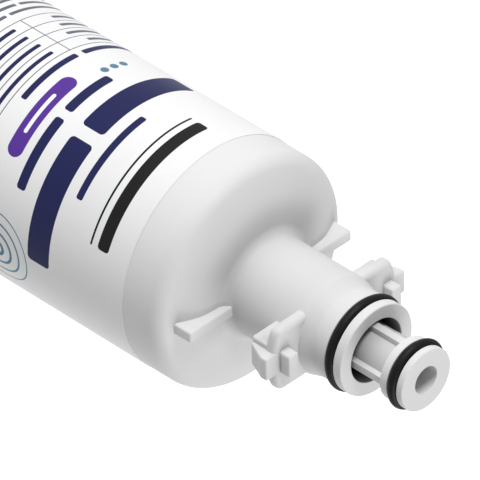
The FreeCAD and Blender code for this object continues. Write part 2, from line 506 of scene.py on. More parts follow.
@dataclass(frozen=True)
class PaintedShadeRing:
    """Shade painted into a moulding, darkest at a ring about the axis and fading out from it.

    It is fitted to the photograph, which is darker in the hollows than the lamps make them. Lengths are
    in millimetres, and depth is the share of grey at the ring.
    """

    radius: float
    height: float
    reach: float
    depth: float
    inside: float = 100.0
    below: float = 300.0
    border: float = 0.125

    def away(self, across: Signal, deep: Signal, level: Signal) -> Signal:
        """Squared distance from the ring, from X, Y and the height over the ring, all in millimetres."""
        outward = (across * across + deep * deep).apply("SQRT") - self.radius
        return outward * outward + level * level

    def mask(self, nodes: Nodes) -> Signal:
        """Masks the shade.

        Args:
            nodes: The plastic's node tree.

        Returns:
            Up to `depth` at the ring, and 0 beyond its reach, outside `inside` and over `below`.
        """
        across, deep, up = (part / MM for part in nodes.parts(nodes.place()))
        radius = (across * across + deep * deep).apply("SQRT")
        near = (1.0 - self.away(across, deep, up - self.height).apply("SQRT") / self.reach).held()
        bounds = ((self.inside - radius) / self.border).held() * ((self.below - up) / self.border).held()
        return near * near * self.depth * bounds


@dataclass(frozen=True)
class PaintedShadeSpots(PaintedShadeRing):
    """Painted shade that fades out from a spot on +X and its twin on -X, at the given radius."""

    def away(self, across: Signal, deep: Signal, level: Signal) -> Signal:
        """Squared distance from the nearer spot, as `PaintedShadeRing.away` gives it from the ring."""
        outward = across.apply("ABSOLUTE") - self.radius
        return outward * outward + deep * deep + level * level


@dataclass(frozen=True)
class MouldedPlastic:
    """Satin moulded plastic, a little cloudy, with shallow sinks, the mould's texture and painted shade."""

    name: str
    colour: Colour
    cloud: Colour
    roughness: float
    # Shade painted into the colour, one ring or pair of spots for each hollow.
    painted_shades: tuple[PaintedShadeRing, ...] = ()
    # Colour of the painted shade.
    grey: Colour = (0.10, 0.10, 0.102)
    roughness_spread: float = 0.12
    cloud_size: float = 22.0
    cloud_detail: float = 3.0
    grain_size: float = 0.22
    grain_depth: float = 0.006
    sink_size: float = 9.0
    sink_stretch: Triple = (1, 1, 0.35)
    sink_depth: float = 0.05
    relief_share: float = 0.35
    index: float = 1.49
    gloss: float = 0.17

    def material(self) -> bpy.types.Material:
        """Makes the material.

        Returns:
            The finish, ready for a piece.
        """
        paint = Paint(self.name, {"IOR": self.index, "Specular IOR Level": self.gloss})
        cloud = paint.noise(self.cloud_size, self.cloud_detail)
        grain = paint.noise(self.grain_size)
        sinks = paint.noise(self.sink_size, stretch=self.sink_stretch)
        colour = paint.blend(cloud, self.colour, self.cloud)
        # Paints the shade of each hollow into the colour.
        for painted_shade in self.painted_shades:
            colour = paint.blend(painted_shade.mask(paint), colour, self.grey)
        relief = grain * (self.grain_depth / self.sink_depth) + sinks
        paint.feed(
            Base_Color=colour,
            Roughness=self.roughness + (cloud + grain - 1.0) * self.roughness_spread,
            Normal=paint.bump(relief, self.sink_depth, self.relief_share))
        return paint.material


@dataclass(frozen=True)
class SealRubber:
    """Black moulded rubber under a thin, patchy film of grease."""

    name: str = "seal_rubber"
    colour: Colour = (0.005, 0.005, 0.006)
    worn: Colour = (0.010, 0.010, 0.011)
    roughness: float = 0.46
    roughness_spread: float = 0.2
    bloom_size: float = 2.6
    bloom_detail: float = 3.0
    pore_size: float = 0.12
    pore_depth: float = 0.006
    pore_share: float = 0.5
    grease: float = 0.08
    grease_start: float = 0.45
    grease_gain: float = 3.0
    grease_roughness: float = 0.25
    index: float = 1.5
    gloss: float = 0.12

    def material(self) -> bpy.types.Material:
        """Makes the material.

        Returns:
            The finish, ready for a piece.
        """
        constants = {"IOR": self.index, "Specular IOR Level": self.gloss,
                     "Coat Roughness": self.grease_roughness}
        paint = Paint(self.name, constants)
        bloom = paint.noise(self.bloom_size, self.bloom_detail)
        pores = paint.noise(self.pore_size)
        film = ((bloom - self.grease_start) * self.grease_gain).held()
        paint.feed(
            Base_Color=paint.blend(bloom, self.colour, self.worn),
            Roughness=self.roughness + (pores - 0.5) * self.roughness_spread,
            Coat_Weight=film * self.grease,
            Normal=paint.bump(pores, self.pore_depth, self.pore_share))
        return paint.material


@dataclass(frozen=True)
class PressedCarbon:
    """Porous block of pressed carbon grains."""

    name: str = "pressed_carbon"
    colour: Colour = (0.012, 0.012, 0.013)
    glint: Colour = (0.06, 0.06, 0.062)
    roughness: float = 0.95
    polish: float = 0.3
    grain_size: float = 0.35
    pit_size: float = 0.8
    pit_detail: float = 4.0
    relief: float = 0.12
    relief_share: float = 0.8
    index: float = 1.5
    gloss: float = 0.3

    def material(self) -> bpy.types.Material:
        """Makes the material.

        Returns:
            The finish, ready for a piece.
        """
        paint = Paint(self.name, {"IOR": self.index, "Specular IOR Level": self.gloss})
        sockets = {"Vector": paint.place(), "Scale": 1 / (self.grain_size * MM)}
        grains = paint.value("ShaderNodeTexVoronoi", {}, sockets, "Distance")
        pits = paint.noise(self.pit_size, self.pit_detail)
        paint.feed(
            Base_Color=paint.blend((grains * pits).held(), self.colour, self.glint),
            Roughness=self.roughness - grains * self.polish,
            Normal=paint.bump(grains + pits, self.relief, self.relief_share))
        return paint.material


@dataclass(frozen=True)
class WoundFleece:
    """Soft nonwoven fleece with long tangled fibres."""

    name: str = "wound_fleece"
    colour: Colour = (0.84, 0.84, 0.82)
    shade: Colour = (0.66, 0.66, 0.64)
    roughness: float = 0.85
    roughness_spread: float = 0.2
    fibre_size: float = 0.25
    fibre_detail: float = 3.0
    upright: Triple = (1, 1, 0.15)
    level: Triple = (0.2, 0.2, 1)
    relief: float = 0.2
    relief_share: float = 0.7
    index: float = 1.45
    gloss: float = 0.2
    sheen: float = 0.2

    def material(self) -> bpy.types.Material:
        """Makes the material.

        Returns:
            The finish, ready for a piece.
        """
        constants = {"IOR": self.index, "Specular IOR Level": self.gloss, "Sheen Weight": self.sheen}
        paint = Paint(self.name, constants)
        across = paint.noise(self.fibre_size, self.fibre_detail, self.upright)
        along = paint.noise(self.fibre_size, self.fibre_detail, self.level)
        fibres = across * along * 2.0
        paint.feed(
            Base_Color=paint.blend(fibres.held(), self.shade, self.colour),
            Roughness=self.roughness + (along - 0.5) * self.roughness_spread,
            Normal=paint.bump(fibres, self.relief, self.relief_share))
        return paint.material


@dataclass(frozen=True)
class ExtrudedNet:
    """Diamond net of thin extruded strands that lies on the fleece. Its holes are painted grey: the fleece
    beneath them, darkened with painted shade between the strands.
    """

    name: str = "extruded_net"
    strand: Colour = (0.86, 0.86, 0.86)
    # Grey of the holes: the fleece beneath, with painted shade between the strands.
    hole_in_shade: Colour = (0.5, 0.5, 0.49)
    roughness: float = 0.8
    strand_polish: float = 0.35
    strands: int = 49
    pitch: float = 3.2
    strand_share: float = 0.45
    strand_edge: float = 6.0
    relief: float = 0.3
    relief_share: float = 0.8
    index: float = 1.5
    gloss: float = 0.4

    def material(self) -> bpy.types.Material:
        """Makes the material.

        Returns:
            The finish, ready for a piece.
        """
        paint = Paint(self.name, {"IOR": self.index, "Specular IOR Level": self.gloss})
        across, deep, up = paint.parts(paint.place())
        turn = deep.apply("ARCTAN2", across) * (self.strands / FULL_TURN)
        rise = up / (self.pitch * MM)
        weave = ((turn + rise).apply("PINGPONG", 0.5) & (turn - rise).apply("PINGPONG", 0.5)) * 2.0
        cord = ((self.strand_share - weave) * self.strand_edge).held()
        paint.feed(
            Base_Color=paint.blend(cord, self.hole_in_shade, self.strand),
            Roughness=self.roughness - cord * self.strand_polish,
            Normal=paint.bump(cord, self.relief, self.relief_share))
        return paint.material


class Ink(Enum):
    """Printing inks, from the first laid down to the last."""

    BLACK = (0.008, 0.008, 0.009)
    NAVY = (0.0125, 0.0150, 0.078)
    GREY = (0.115, 0.118, 0.150)
    TEAL = (0.085, 0.205, 0.300)
    PURPLE = (0.090, 0.032, 0.285)
    WHITE = (0.87, 0.87, 0.88)


@dataclass(frozen=True)
class Mark:
    """A printed field with rounded corners, in millimetres on the label laid flat."""

    ink: Ink
    left: float
    right: float
    bottom: float
    top: float
    rounding: float


@dataclass(frozen=True)
class Ring:
    """A printed ring, in millimetres on the label laid flat."""

    ink: Ink
    across: float
    up: float
    radius: float
    line: float


def heading_marks() -> list[Mark]:
    """Lays out the large bars, the badge and the row of dots in the label's upper part.

    Returns:
        Their fields.
    """
    marks = [
        Mark(Ink.BLACK, -22.0, 20.0, 155.0, 158.6, 0.9),
        Mark(Ink.BLACK, -22.0, 20.0, 152.6, 153.2, 0.3),
        Mark(Ink.NAVY, -14.0, 12.0, 144.0, 146.0, 0.6),
        Mark(Ink.NAVY, -36.5, -4.0, 133.6, 140.8, 1.2),
        Mark(Ink.NAVY, -0.5, 33.3, 133.6, 140.8, 1.2),
        Mark(Ink.NAVY, -19.5, -5.0, 126.6, 129.4, 0.8),
        Mark(Ink.NAVY, -2.5, 17.3, 126.6, 129.4, 0.8),
        Mark(Ink.PURPLE, -13.4, 11.4, 119.6, 124.3, 2.3),
        Mark(Ink.WHITE, -7.0, 5.0, 121.4, 122.5, 0.5),
        Mark(Ink.NAVY, -41.0, -22.5, 114.8, 116.6, 0.5),
        Mark(Ink.NAVY, -20.5, -1.8, 114.8, 116.6, 0.5),
    ]
    dot, row = 1.1, 124.6
    for across in (-27.4, -24.2, -21.0):
        marks.append(Mark(Ink.TEAL, across - dot, across + dot, row - dot, row + dot, dot))
    return marks


def ruled_marks(top: float = 112.9, pitch: float = 4.25, line: float = 0.28, bar: float = 1.2) -> list[Mark]:
    """Lays out the ruled block: five lines, an upright line, and two columns of bars.

    Args:
        top: Lower edge of the first line.
        pitch: Step from line to line.
        line: Thickness of a line.
        bar: Thickness of a bar.

    Returns:
        The block's fields.
    """
    line_round, bar_round, bar_drop = 0.1, 0.4, 2.0
    rules = [top - pitch * row for row in range(5)]
    marks = [Mark(Ink.GREY, -41.0, 38.0, up, up + line, line_round) for up in rules]
    marks.append(Mark(Ink.GREY, -20.9, -20.6, rules[-1], top + line_round, line_round))
    first_ends, second_ends = (-29.0, -26.0, -28.0, -29.5), (3.5, -1.0, 0.5, 4.5)
    for up, first_end, second_end in zip(rules, first_ends, second_ends):
        middle = up - bar_drop
        for ink, start, end in ((Ink.GREY, -38.5, first_end), (Ink.NAVY, -17.0, second_end)):
            marks.append(Mark(ink, start, end, middle - bar / 2, middle + bar / 2, bar_round))
    return marks


def line_marks(start: float = -40.0, gap: float = 1.2, bar: float = 1.1) -> list[Mark]:
    """Lays out the three broken lines under the ruled block.

    Args:
        start: Left end of every line.
        gap: Gap between two bars of a line.
        bar: Thickness of a bar.

    Returns:
        The lines' fields.
    """
    marks = []
    bar_round = 0.35
    ends = {92.0: (-20.0, -2.0, 21.0, 36.0), 89.2: (-26.0, -4.0, 12.0, 30.0), 86.4: (-30.0, -12.0, 8.0, 20.0)}
    for up, stops in ends.items():
        for left, right in zip((start, *stops), stops):
            marks.append(Mark(Ink.GREY, left + gap / 2, right - gap / 2, up, up + bar, bar_round))
    return marks


@dataclass(frozen=True)
class PrintedFilm:
    """White label film printed with fields of colour and a set of rings."""

    radius: float
    name: str = "printed_film"
    film: Colour = (0.805, 0.805, 0.810)
    cloud: Colour = (0.785, 0.785, 0.792)
    cloud_size: float = 30.0
    middle: float = 300.0
    edge: float = 0.09
    rings: tuple[Ring, ...] = tuple(
        Ring(Ink.TEAL, 36.0, 122.5, radius, line)
        for radius, line in ((2.2, 0.9), (4.9, 0.75), (7.6, 0.55), (10.3, 0.35)))
    roughness: float = 0.34
    roughness_spread: float = 0.08
    ink_roughness: float = 0.08
    grain_size: float = 0.5
    grain_relief: float = 0.15
    ink_relief: float = 0.5
    relief: float = 0.01
    relief_share: float = 0.5
    index: float = 1.5
    gloss: float = 0.14

    def flat(self, nodes: Nodes) -> Signal:
        """Unrolls the label.

        Args:
            nodes: The film's node tree.

        Returns:
            A vector in millimetres: along the label from the middle of the print, up from the foot, and 0.
        """
        turned = nodes.value("ShaderNodeVectorRotate", {"rotation_type": "Z_AXIS"},
                             {"Vector": nodes.place(), "Angle": -math.radians(self.middle)})
        across, deep, up = nodes.parts(turned)
        along = deep.apply("ARCTAN2", across) * self.radius
        return nodes.value("ShaderNodeCombineXYZ", {}, {0: along, 1: up / MM})

    def field(self, nodes: Nodes, flat: Signal, mark: Mark) -> Signal:
        """Masks one printed field.

        Args:
            nodes: The film's node tree.
            flat: Place on the label laid flat.
            mark: The field.

        Returns:
            1 on the field and 0 off it.
        """
        middle = ((mark.left + mark.right) / 2, (mark.bottom + mark.top) / 2, 0)
        core = ((mark.right - mark.left) / 2 - mark.rounding, (mark.top - mark.bottom) / 2 - mark.rounding, 0)
        offset = nodes.vector("ABSOLUTE", nodes.vector("SUBTRACT", flat, middle))
        outside = nodes.vector("MAXIMUM", nodes.vector("SUBTRACT", offset, core))
        distance = nodes.vector("LENGTH", outside, out="Value")
        return ((mark.rounding - distance) / self.edge + 0.5).held()

    def ring(self, nodes: Nodes, flat: Signal, ring: Ring) -> Signal:
        """Masks one printed ring, as `field` masks a field."""
        distance = nodes.vector("DISTANCE", flat, (ring.across, ring.up, 0), "Value")
        return ((ring.line / 2 - (distance - ring.radius).apply("ABSOLUTE")) / self.edge + 0.5).held()

    def layers(self, nodes: Nodes) -> dict[Ink, Signal]:
        """Masks what each ink prints.

        Args:
            nodes: The film's node tree.

        Returns:
            A mask for each ink, in printing order.
        """
        flat = self.flat(nodes)
        marks = heading_marks() + ruled_marks() + line_marks()
        layers: dict[Ink, Signal] = {}
        for ink in Ink:
            masks = [self.field(nodes, flat, mark) for mark in marks if mark.ink is ink]
            masks += [self.ring(nodes, flat, ring) for ring in self.rings if ring.ink is ink]
            layers[ink] = masks[0]
            for mask in masks[1:]:
                layers[ink] = layers[ink] | mask
        return layers

    def material(self) -> bpy.types.Material:
        """Makes the material.

        Returns:
            The finish, ready for a piece.
        """
        paint = Paint(self.name, {"IOR": self.index, "Specular IOR Level": self.gloss})
        grain = paint.noise(self.grain_size)
        colour = paint.blend(paint.noise(self.cloud_size), self.film, self.cloud)
        printed: Number = 0.0
        for ink, layer in self.layers(paint).items():
            colour = paint.blend(layer, colour, ink.value)
            printed = layer | printed
        relief = grain * self.grain_relief + printed * self.ink_relief
        paint.feed(
            Base_Color=colour,
            Roughness=self.roughness + (grain - 0.5) * self.roughness_spread + printed * self.ink_roughness,
            Normal=paint.bump(relief, self.relief, self.relief_share))
        return paint.material


# Painted shade for the hollows: round the neck's root on the shoulder, along the neck and inside its mouth,
# at the lugs, on the spigot's tube and in its bore.
SHOULDER_PAINTED_SHADE = (PaintedShadeRing(14.0, 184.0, 26.0, 0.12), PaintedShadeRing(14.0, 183.0, 5.0, 0.10))
NECK_PAINTED_SHADE = (PaintedShadeRing(12.0, 202.0, 26.0, 0.11), PaintedShadeRing(8.4, 213.0, 28.0, 1.0, inside=8.6))
LUG_PAINTED_SHADE = (PaintedShadeRing(19.0, 201.0, 6.0, 0.28), PaintedShadeSpots(17.3, 205.6, 8.0, 0.50, below=206.3))
TUBE_PAINTED_SHADE = (
    PaintedShadeRing(6.2, 212.0, 22.0, 0.80, inside=7.9), PaintedShadeRing(6.2, 221.0, 16.0, 0.16, inside=6.5),
    PaintedShadeRing(6.2, 228.0, 5.0, 0.20, inside=6.5))
BORE_PAINTED_SHADE = (PaintedShadeRing(3.65, 226.0, 13.0, 0.12, inside=3.9),)
WHITE_MOULDING = MouldedPlastic(
    "white_moulding", (0.715, 0.715, 0.717), (0.692, 0.692, 0.695), 0.50,
    SHOULDER_PAINTED_SHADE + NECK_PAINTED_SHADE + LUG_PAINTED_SHADE)
SPIGOT_MOULDING = MouldedPlastic(
    "spigot_moulding", (0.715, 0.715, 0.717), (0.694, 0.694, 0.697), 0.46, TUBE_PAINTED_SHADE + BORE_PAINTED_SHADE)
END_CAP_PLASTIC = MouldedPlastic("end_cap_plastic", (0.72, 0.72, 0.715), (0.69, 0.69, 0.685), 0.55)


@dataclass
class Housing:
    """Canister moulding: side wall, shoulder with fins, neck with its seal groove and bayonet lugs."""

    place: Extent
    wall: float = 2.5
    weld_round: float = 0.2
    shoulder_slope: float = 26.0
    shoulder_round: float = 4.5
    crown_slope: float = 4.0
    crown_radius: float = 21.0
    crown_round: float = 14.0
    neck_radius: float = 13.0
    neck_inner_radius: float = 10.2
    neck_root: float = 182.2
    neck_root_round: float = 3.0
    nose_radius: float = 12.1
    nose_length: float = 2.5
    groove_radius: float = 10.08
    groove_width: float = 3.02
    waist_radius: float = 11.8
    waist_length: float = 4.18
    waist_taper: float = 4.0
    waist_round: float = 2.5
    mouth_radius: float = 8.4
    mouth_depth: float = 11.0
    mouth_taper: float = 3.0
    edge_round: float = 0.35
    lug_round: float = 0.5
    lug_round_faces: int = 3
    lug_front: float = 205.6
    lug_sink: float = 0.01
    plate_thickness: float = 2.9
    plate_reach: float = 20.8
    plate_width: float = 17.8
    plate_corner: float = 2.0
    plate_bow_points: int = 20
    plate_bow_share: float = 0.75
    plate_front_round: float = 1.3
    plate_back_round: float = 0.4
    plate_round_faces: int = 8
    shelf_thickness: float = 5.0
    shelf_reach: float = 20.3
    shelf_width: float = 9.0
    shelf_corner: float = 0.9
    tooth_reach: float = 23.35
    tooth_width: float = 6.4
    tooth_length: float = 7.4
    tooth_heel: float = 20.9
    tooth_land: float = 1.9
    tooth_round: float = 0.8
    stop_reach: float = 18.9
    stop_depth: float = 3.1
    stop_width: float = 6.3
    stop_height: float = 3.2
    fin_reach: float = 27.1
    fin_thickness: float = 3.1
    fin_top: float = 184.2
    fin_height: float = 10.25
    outside_faces: int = 180
    outside_facet: float = 5.0
    cavity_faces: int = 120

    def crown_at(self, radius: float, depth: float = 0.0) -> float:
        """Height of the crown's gentle slope at a radius, so far under the skin, in millimetres."""
        slope = math.radians(self.crown_slope)
        return self.neck_root - (radius - self.neck_radius) * math.tan(slope) - depth / math.cos(slope)

    def shoulder_at(self, radius: float, depth: float = 0.0) -> float:
        """Gives the height of the shoulder's steeper slope.

        Args:
            radius: Radius at which it is wanted, in millimetres.
            depth: How far under the outer skin, in millimetres.

        Returns:
            Millimetres over the foot.
        """
        slope = math.radians(self.shoulder_slope)
        crown = self.crown_at(self.crown_radius)
        return crown - (radius - self.crown_radius) * math.tan(slope) - depth / math.cos(slope)

    def inner_crown_radius(self) -> float:
        """Finds where the two slopes meet on the inner skin.

        Returns:
            The radius in millimetres.
        """
        gap = self.crown_at(self.crown_radius, self.wall) - self.shoulder_at(self.crown_radius, self.wall)
        bend = math.tan(math.radians(self.shoulder_slope)) - math.tan(math.radians(self.crown_slope))
        return self.crown_radius - gap / bend

    def outside(self) -> Workpiece:
        """Turns the outer skin.

        Returns:
            A full solid.
        """
        edge, radius, neck_end = self.edge_round, self.place.radius, self.place.top
        groove_top = neck_end - self.nose_length
        groove_bottom = groove_top - self.groove_width
        waist_top = groove_bottom - self.waist_length
        return Workpiece.turned("housing_shell", [
            (0, self.place.bottom), (radius, self.place.bottom, self.weld_round),
            (radius, self.shoulder_at(radius), self.shoulder_round),
            (self.crown_radius, self.crown_at(self.crown_radius), self.crown_round),
            (self.neck_radius, self.neck_root, self.neck_root_round),
            (self.neck_radius, waist_top - self.waist_taper, self.waist_round),
            (self.waist_radius, waist_top, self.waist_round),
            (self.waist_radius, groove_bottom, edge / 2), (self.groove_radius, groove_bottom),
            (self.groove_radius, groove_top), (self.nose_radius, groove_top, edge / 2),
            (self.nose_radius, neck_end, edge), (0, neck_end)], self.outside_faces, self.outside_facet)

    def cavity(self) -> Workpiece:
        """Turns the inner room.

        Returns:
            The form that is cut out of the solid.
        """
        inner, crown = self.place.radius - self.wall, self.inner_crown_radius()
        neck_end, lip = self.place.top, self.edge_round / 2
        mouth_bottom = neck_end - self.mouth_depth
        over = neck_end + self.wall
        return Workpiece.turned("cavity", [
            (0, 0), (inner, 0), (inner, self.shoulder_at(inner, self.wall), self.shoulder_round - self.wall),
            (crown, self.crown_at(crown, self.wall), self.crown_round - self.wall),
            (self.neck_inner_radius, self.crown_at(self.neck_inner_radius, self.wall)),
            (self.neck_inner_radius, mouth_bottom - self.mouth_taper), (self.mouth_radius, mouth_bottom),
            (self.mouth_radius, neck_end - lip), (self.mouth_radius + lip, neck_end),
            (self.mouth_radius + lip, over), (0, over)], self.cavity_faces)

    def plate(self) -> Workpiece:
        """Models the lug's cross plate, its end bowed about the axis and its corners and rims rounded.

        Returns:
            The plate on +X.
        """
        half, back = self.plate_width / 2, self.lug_front - self.plate_thickness
        turn = math.asin(half / self.plate_reach)
        steps = [2 * step / self.plate_bow_points - 1 for step in range(self.plate_bow_points + 1)]
        bow = [-turn, *(turn * self.plate_bow_share * step for step in steps), turn]
        end = [(self.plate_reach * math.cos(angle), self.plate_reach * math.sin(angle)) for angle in bow]
        end[0], end[-1] = (*end[0], self.plate_corner), (*end[-1], self.plate_corner)
        piece = Workpiece.tile("lug", [(0, -half), *end, (0, half)], back, self.lug_front)
        for height, rounding in ((self.lug_front, self.plate_front_round), (back, self.plate_back_round)):
            piece.soften(rounding, self.plate_round_faces, lambda a, b:
                         max(abs(a.z - height), abs(b.z - height)) < SAME and max(a.x, b.x) > SAME)
        return piece

    def block(self, name: str, corners: Sequence[Corner], width: float) -> Workpiece:
        """Models a block of the lug, or a fin, with its side edges rounded.

        Args:
            name: Name of the piece.
            corners: Corners of its outline, as `rounded` takes them.
            width: Width across Y in millimetres.

        Returns:
            The block on +X.
        """
        block = Workpiece.slab(name, corners, width)
        block.soften(self.lug_round, self.lug_round_faces, side_edges(width))
        return block

    def lug(self) -> Workpiece:
        """Models the lug: plate, shelf behind it, ramp tooth on its end and stop block in front.

        Returns:
            The lug on +X.
        """
        front, flush = self.lug_front, self.lug_front - self.lug_sink
        inside = front - self.plate_thickness / 2
        shelf_back = front - self.plate_thickness - self.shelf_thickness
        shelf = self.block("shelf", [
            (0, shelf_back), (self.shelf_reach, shelf_back, self.shelf_corner),
            (self.shelf_reach, inside), (0, inside)], self.shelf_width)
        tooth_back = front - self.tooth_length
        tooth = self.block("tooth", [
            (self.neck_radius, flush), (self.neck_radius, tooth_back),
            (self.tooth_heel, tooth_back, self.lug_round),
            (self.tooth_reach, front - self.tooth_land, self.tooth_round),
            (self.tooth_reach, flush, self.lug_round)], self.tooth_width)
        stop_root, stop_top = self.stop_reach - self.stop_depth, front + self.stop_height
        stop = self.block("stop", [
            (stop_root, inside), (self.stop_reach, inside),
            (self.stop_reach, stop_top, self.lug_round),
            (stop_root, stop_top, self.lug_round)], self.stop_width)
        lug = self.plate()
        lug.combine(Join.ADD, shelf, tooth, stop)
        return lug

    def fin(self) -> Workpiece:
        """Models the shoulder's fin.

        Returns:
            The fin on +X.
        """
        root, bottom = (self.neck_radius + self.neck_inner_radius) / 2, self.fin_top - self.fin_height
        return self.block("fin", [
            (root, bottom), (self.fin_reach, bottom),
            (self.fin_reach, self.fin_top, self.lug_round), (root, self.fin_top)], self.fin_thickness)

    def build(self, material: bpy.types.Material) -> None:
        """Models the housing and dresses it.

        Args:
            material: Finish of the moulding.
        """
        shell = self.outside()
        for form in (self.lug(), self.fin()):
            opposite = form.copies(2)
            shell.combine(Join.ADD, form, *opposite)
        shell.combine(Join.CUT, self.cavity())
        shell.clean()
        shell.dress(material, "white_moulding", "housing")


@dataclass
class OutletSpigot:
    """Ribbed outlet spigot, one moulding with the end cap over the filter block."""

    place: Extent
    bore_radius: float = 3.65
    tube_radius: float = 6.2
    stub_radius: float = 6.7
    stub_length: float = 8.0
    skirt_wall: float = 1.2
    skirt_depth: float = 5.0
    cap_thickness: float = 2.5
    root_flare: float = 4.0
    back_flange_radius: float = 8.3
    back_flange_length: float = 2.2
    groove_radius: float = 6.53
    groove_width: float = 3.02
    tip_radius: float = 8.25
    tip_length: float = 1.9
    rib_count: int = 4
    rib_width: float = 2.1
    rib_radius: float = 7.65
    rib_length: float = 30.0
    rib_overlap: float = 1.0
    edge_round: float = 0.35
    faces: int = 144

    def build(self, material: bpy.types.Material) -> None:
        """Models the spigot and dresses it.

        Args:
            material: Finish of the moulding.
        """
        edge, stub_bottom, tip = self.edge_round, self.place.bottom, self.place.top
        block_top = stub_bottom + self.stub_length
        skirt_inner, skirt_bottom = self.place.radius - self.skirt_wall, block_top - self.skirt_depth
        cap_top = block_top + self.cap_thickness
        groove_top = tip - self.tip_length
        groove_bottom = groove_top - self.groove_width
        flange_bottom = groove_bottom - self.back_flange_length
        spigot = Workpiece.turned("outlet_spigot", [
            (self.bore_radius, stub_bottom), (self.stub_radius, stub_bottom, edge),
            (self.stub_radius, block_top),
            (skirt_inner, block_top), (skirt_inner, skirt_bottom), (self.place.radius, skirt_bottom),
            (self.place.radius, cap_top, edge), (self.tube_radius + self.root_flare, cap_top),
            (self.tube_radius, cap_top + self.root_flare), (self.tube_radius, flange_bottom),
            (self.back_flange_radius, flange_bottom, edge / 2),
            (self.back_flange_radius, groove_bottom, edge / 2),
            (self.groove_radius, groove_bottom), (self.groove_radius, groove_top),
            (self.tip_radius, groove_top, edge / 2), (self.tip_radius, tip, edge),
            (self.bore_radius, tip, edge / 2)], self.faces)
        inner = (self.bore_radius + self.tube_radius) / 2
        rib_bottom, rib_top = flange_bottom - self.rib_length, flange_bottom + self.rib_overlap
        rib = Workpiece.slab("rib", [
            (inner, rib_bottom), (self.rib_radius, rib_bottom, edge),
            (self.rib_radius, rib_top), (inner, rib_top)], self.rib_width)
        rib.soften(edge / 2, 2, lambda a, b: abs(a.y - b.y) < SAME and min(a.x, b.x) > self.rib_radius - edge)
        others = rib.copies(self.rib_count)
        spigot.combine(Join.ADD, rib, *others)
        spigot.clean()
        spigot.dress(material, "spigot_moulding", "outlet_end_cap")


@dataclass
class Seal:
    """O-ring in its groove, with the thin flash line that its mould leaves."""

    name: str
    node: str
    place: Extent
    section: float = 2.62
    flash: float = 0.03
    points: int = 40
    faces: int = 144
    sharp: float = 60.0

    def build(self, material: bpy.types.Material) -> None:
        """Models the O-ring and dresses it.

        Args:
            material: The rubber.
        """
        half = self.section / 2
        centre, height = self.place.radius - half, (self.place.bottom + self.place.top) / 2
        corners = []
        for index in range(self.points):
            turn = FULL_TURN * index / self.points
            reach = half + (self.flash if index == 0 else 0)
            corners.append((centre + reach * math.cos(turn), height + reach * math.sin(turn)))
        ring = Workpiece.turned(self.name, corners, self.faces)
        ring.dress(material, "black_seal", self.node, self.sharp)


@dataclass
class WrapLabel:
    """Printed film wrapped once round the side wall, its last stretch lying over its first."""

    place: Extent
    film: float = 0.15
    inner_round: float = 0.04
    outer_round: float = 0.06
    edge_facet: float = 30.0
    seam: float = 120.0
    overlap: float = 6.0
    rise: float = 1.2
    rise_steps: int = 6
    steps: int = 216

    def build(self, material: bpy.types.Material) -> None:
        """Wraps the film and dresses it.

        Args:
            material: The printed film.
        """
        outer, bottom, top = self.place.radius, self.place.bottom, self.place.top
        inner = outer - self.film
        lap, rise = self.overlap / outer, self.rise / outer
        lift = (outer / inner) ** (1 / self.rise_steps)
        label = Workpiece.drawn("wrap_label", [
            (inner, bottom, self.inner_round), (outer, bottom, self.outer_round),
            (outer, top, self.outer_round), (inner, top, self.inner_round)], self.edge_facet)
        with label.editing():
            bpy.ops.mesh.edge_face_add()
            bpy.ops.transform.rotate(value=-math.radians(self.seam), orient_axis="Z",
                                     center_override=(0, 0, 0))
            bpy.ops.mesh.spin(steps=self.steps, angle=FULL_TURN - rise, center=(0, 0, 0), axis=(0, 0, -1))
            for _ in range(self.rise_steps):
                bpy.ops.mesh.spin(steps=1, angle=rise / self.rise_steps, center=(0, 0, 0), axis=(0, 0, -1))
                bpy.ops.transform.resize(value=(lift, lift, 1), center_override=(0, 0, 0))
            bpy.ops.mesh.spin(steps=self.rise_steps, angle=lap, center=(0, 0, 0), axis=(0, 0, -1))
        label.clean()
        label.dress(material, "label_film", "label")


@dataclass
class BottomClosure:
    """Welded closure: foot ring, plug inside the side wall, and a ribbed collar under the filter block."""

    place: Extent
    weld_height: float
    weld_round: float = 0.2
    edge_round: float = 2.5
    foot_width: float = 7.0
    recess: float = 1.5
    recess_round: float = 0.6
    floor: float = 3.0
    gate_radius: float = 2.2
    gate_height: float = 0.35
    gate_round: float = 0.2
    gate_fillet: float = 0.1
    plug_radius: float = 28.4
    plug_wall: float = 2.2
    collar_inner_radius: float = 6.3
    collar_wall: float = 1.6
    rib_count: int = 6
    rib_thickness: float = 1.8
    rib_sink: float = 0.01
    faces: int = 180
    collar_faces: int = 96

    def build(self, material: bpy.types.Material) -> None:
        """Models the closure and dresses it.

        Args:
            material: Finish of the moulding.
        """
        radius, plug_top = self.place.radius, self.place.top
        foot, gate = radius - self.foot_width, self.recess - self.gate_height
        floor_top, half_floor = self.recess + self.floor, self.recess + self.floor / 2
        collar_radius = self.collar_inner_radius + self.collar_wall
        plug_inner = self.plug_radius - self.plug_wall
        closure = Workpiece.turned("bottom_closure", [
            (0, gate), (self.gate_radius, gate, self.gate_round),
            (self.gate_radius, self.recess, self.gate_fillet), (foot, self.recess, self.recess_round),
            (foot, 0, self.recess_round), (radius, 0, self.edge_round),
            (radius, self.weld_height, self.weld_round), (self.plug_radius, self.weld_height),
            (self.plug_radius, plug_top), (plug_inner, plug_top), (plug_inner, floor_top),
            (0, floor_top)], self.faces)
        collar = Workpiece.turned("collar", [
            (self.collar_inner_radius, half_floor), (collar_radius, half_floor),
            (collar_radius, plug_top), (self.collar_inner_radius, plug_top)], self.collar_faces)
        rib_inner = collar_radius - self.collar_wall / 2
        rib_outer = self.plug_radius - self.plug_wall / 2
        rib_top = plug_top - self.rib_sink
        rib = Workpiece.slab("rib", [(rib_inner, half_floor), (rib_outer, half_floor), (rib_outer, rib_top),
                                     (rib_inner, rib_top)], self.rib_thickness)
        others = rib.copies(self.rib_count)
        closure.combine(Join.ADD, collar, rib, *others)
        closure.clean()
        closure.dress(material, "white_moulding", "bottom_cap")


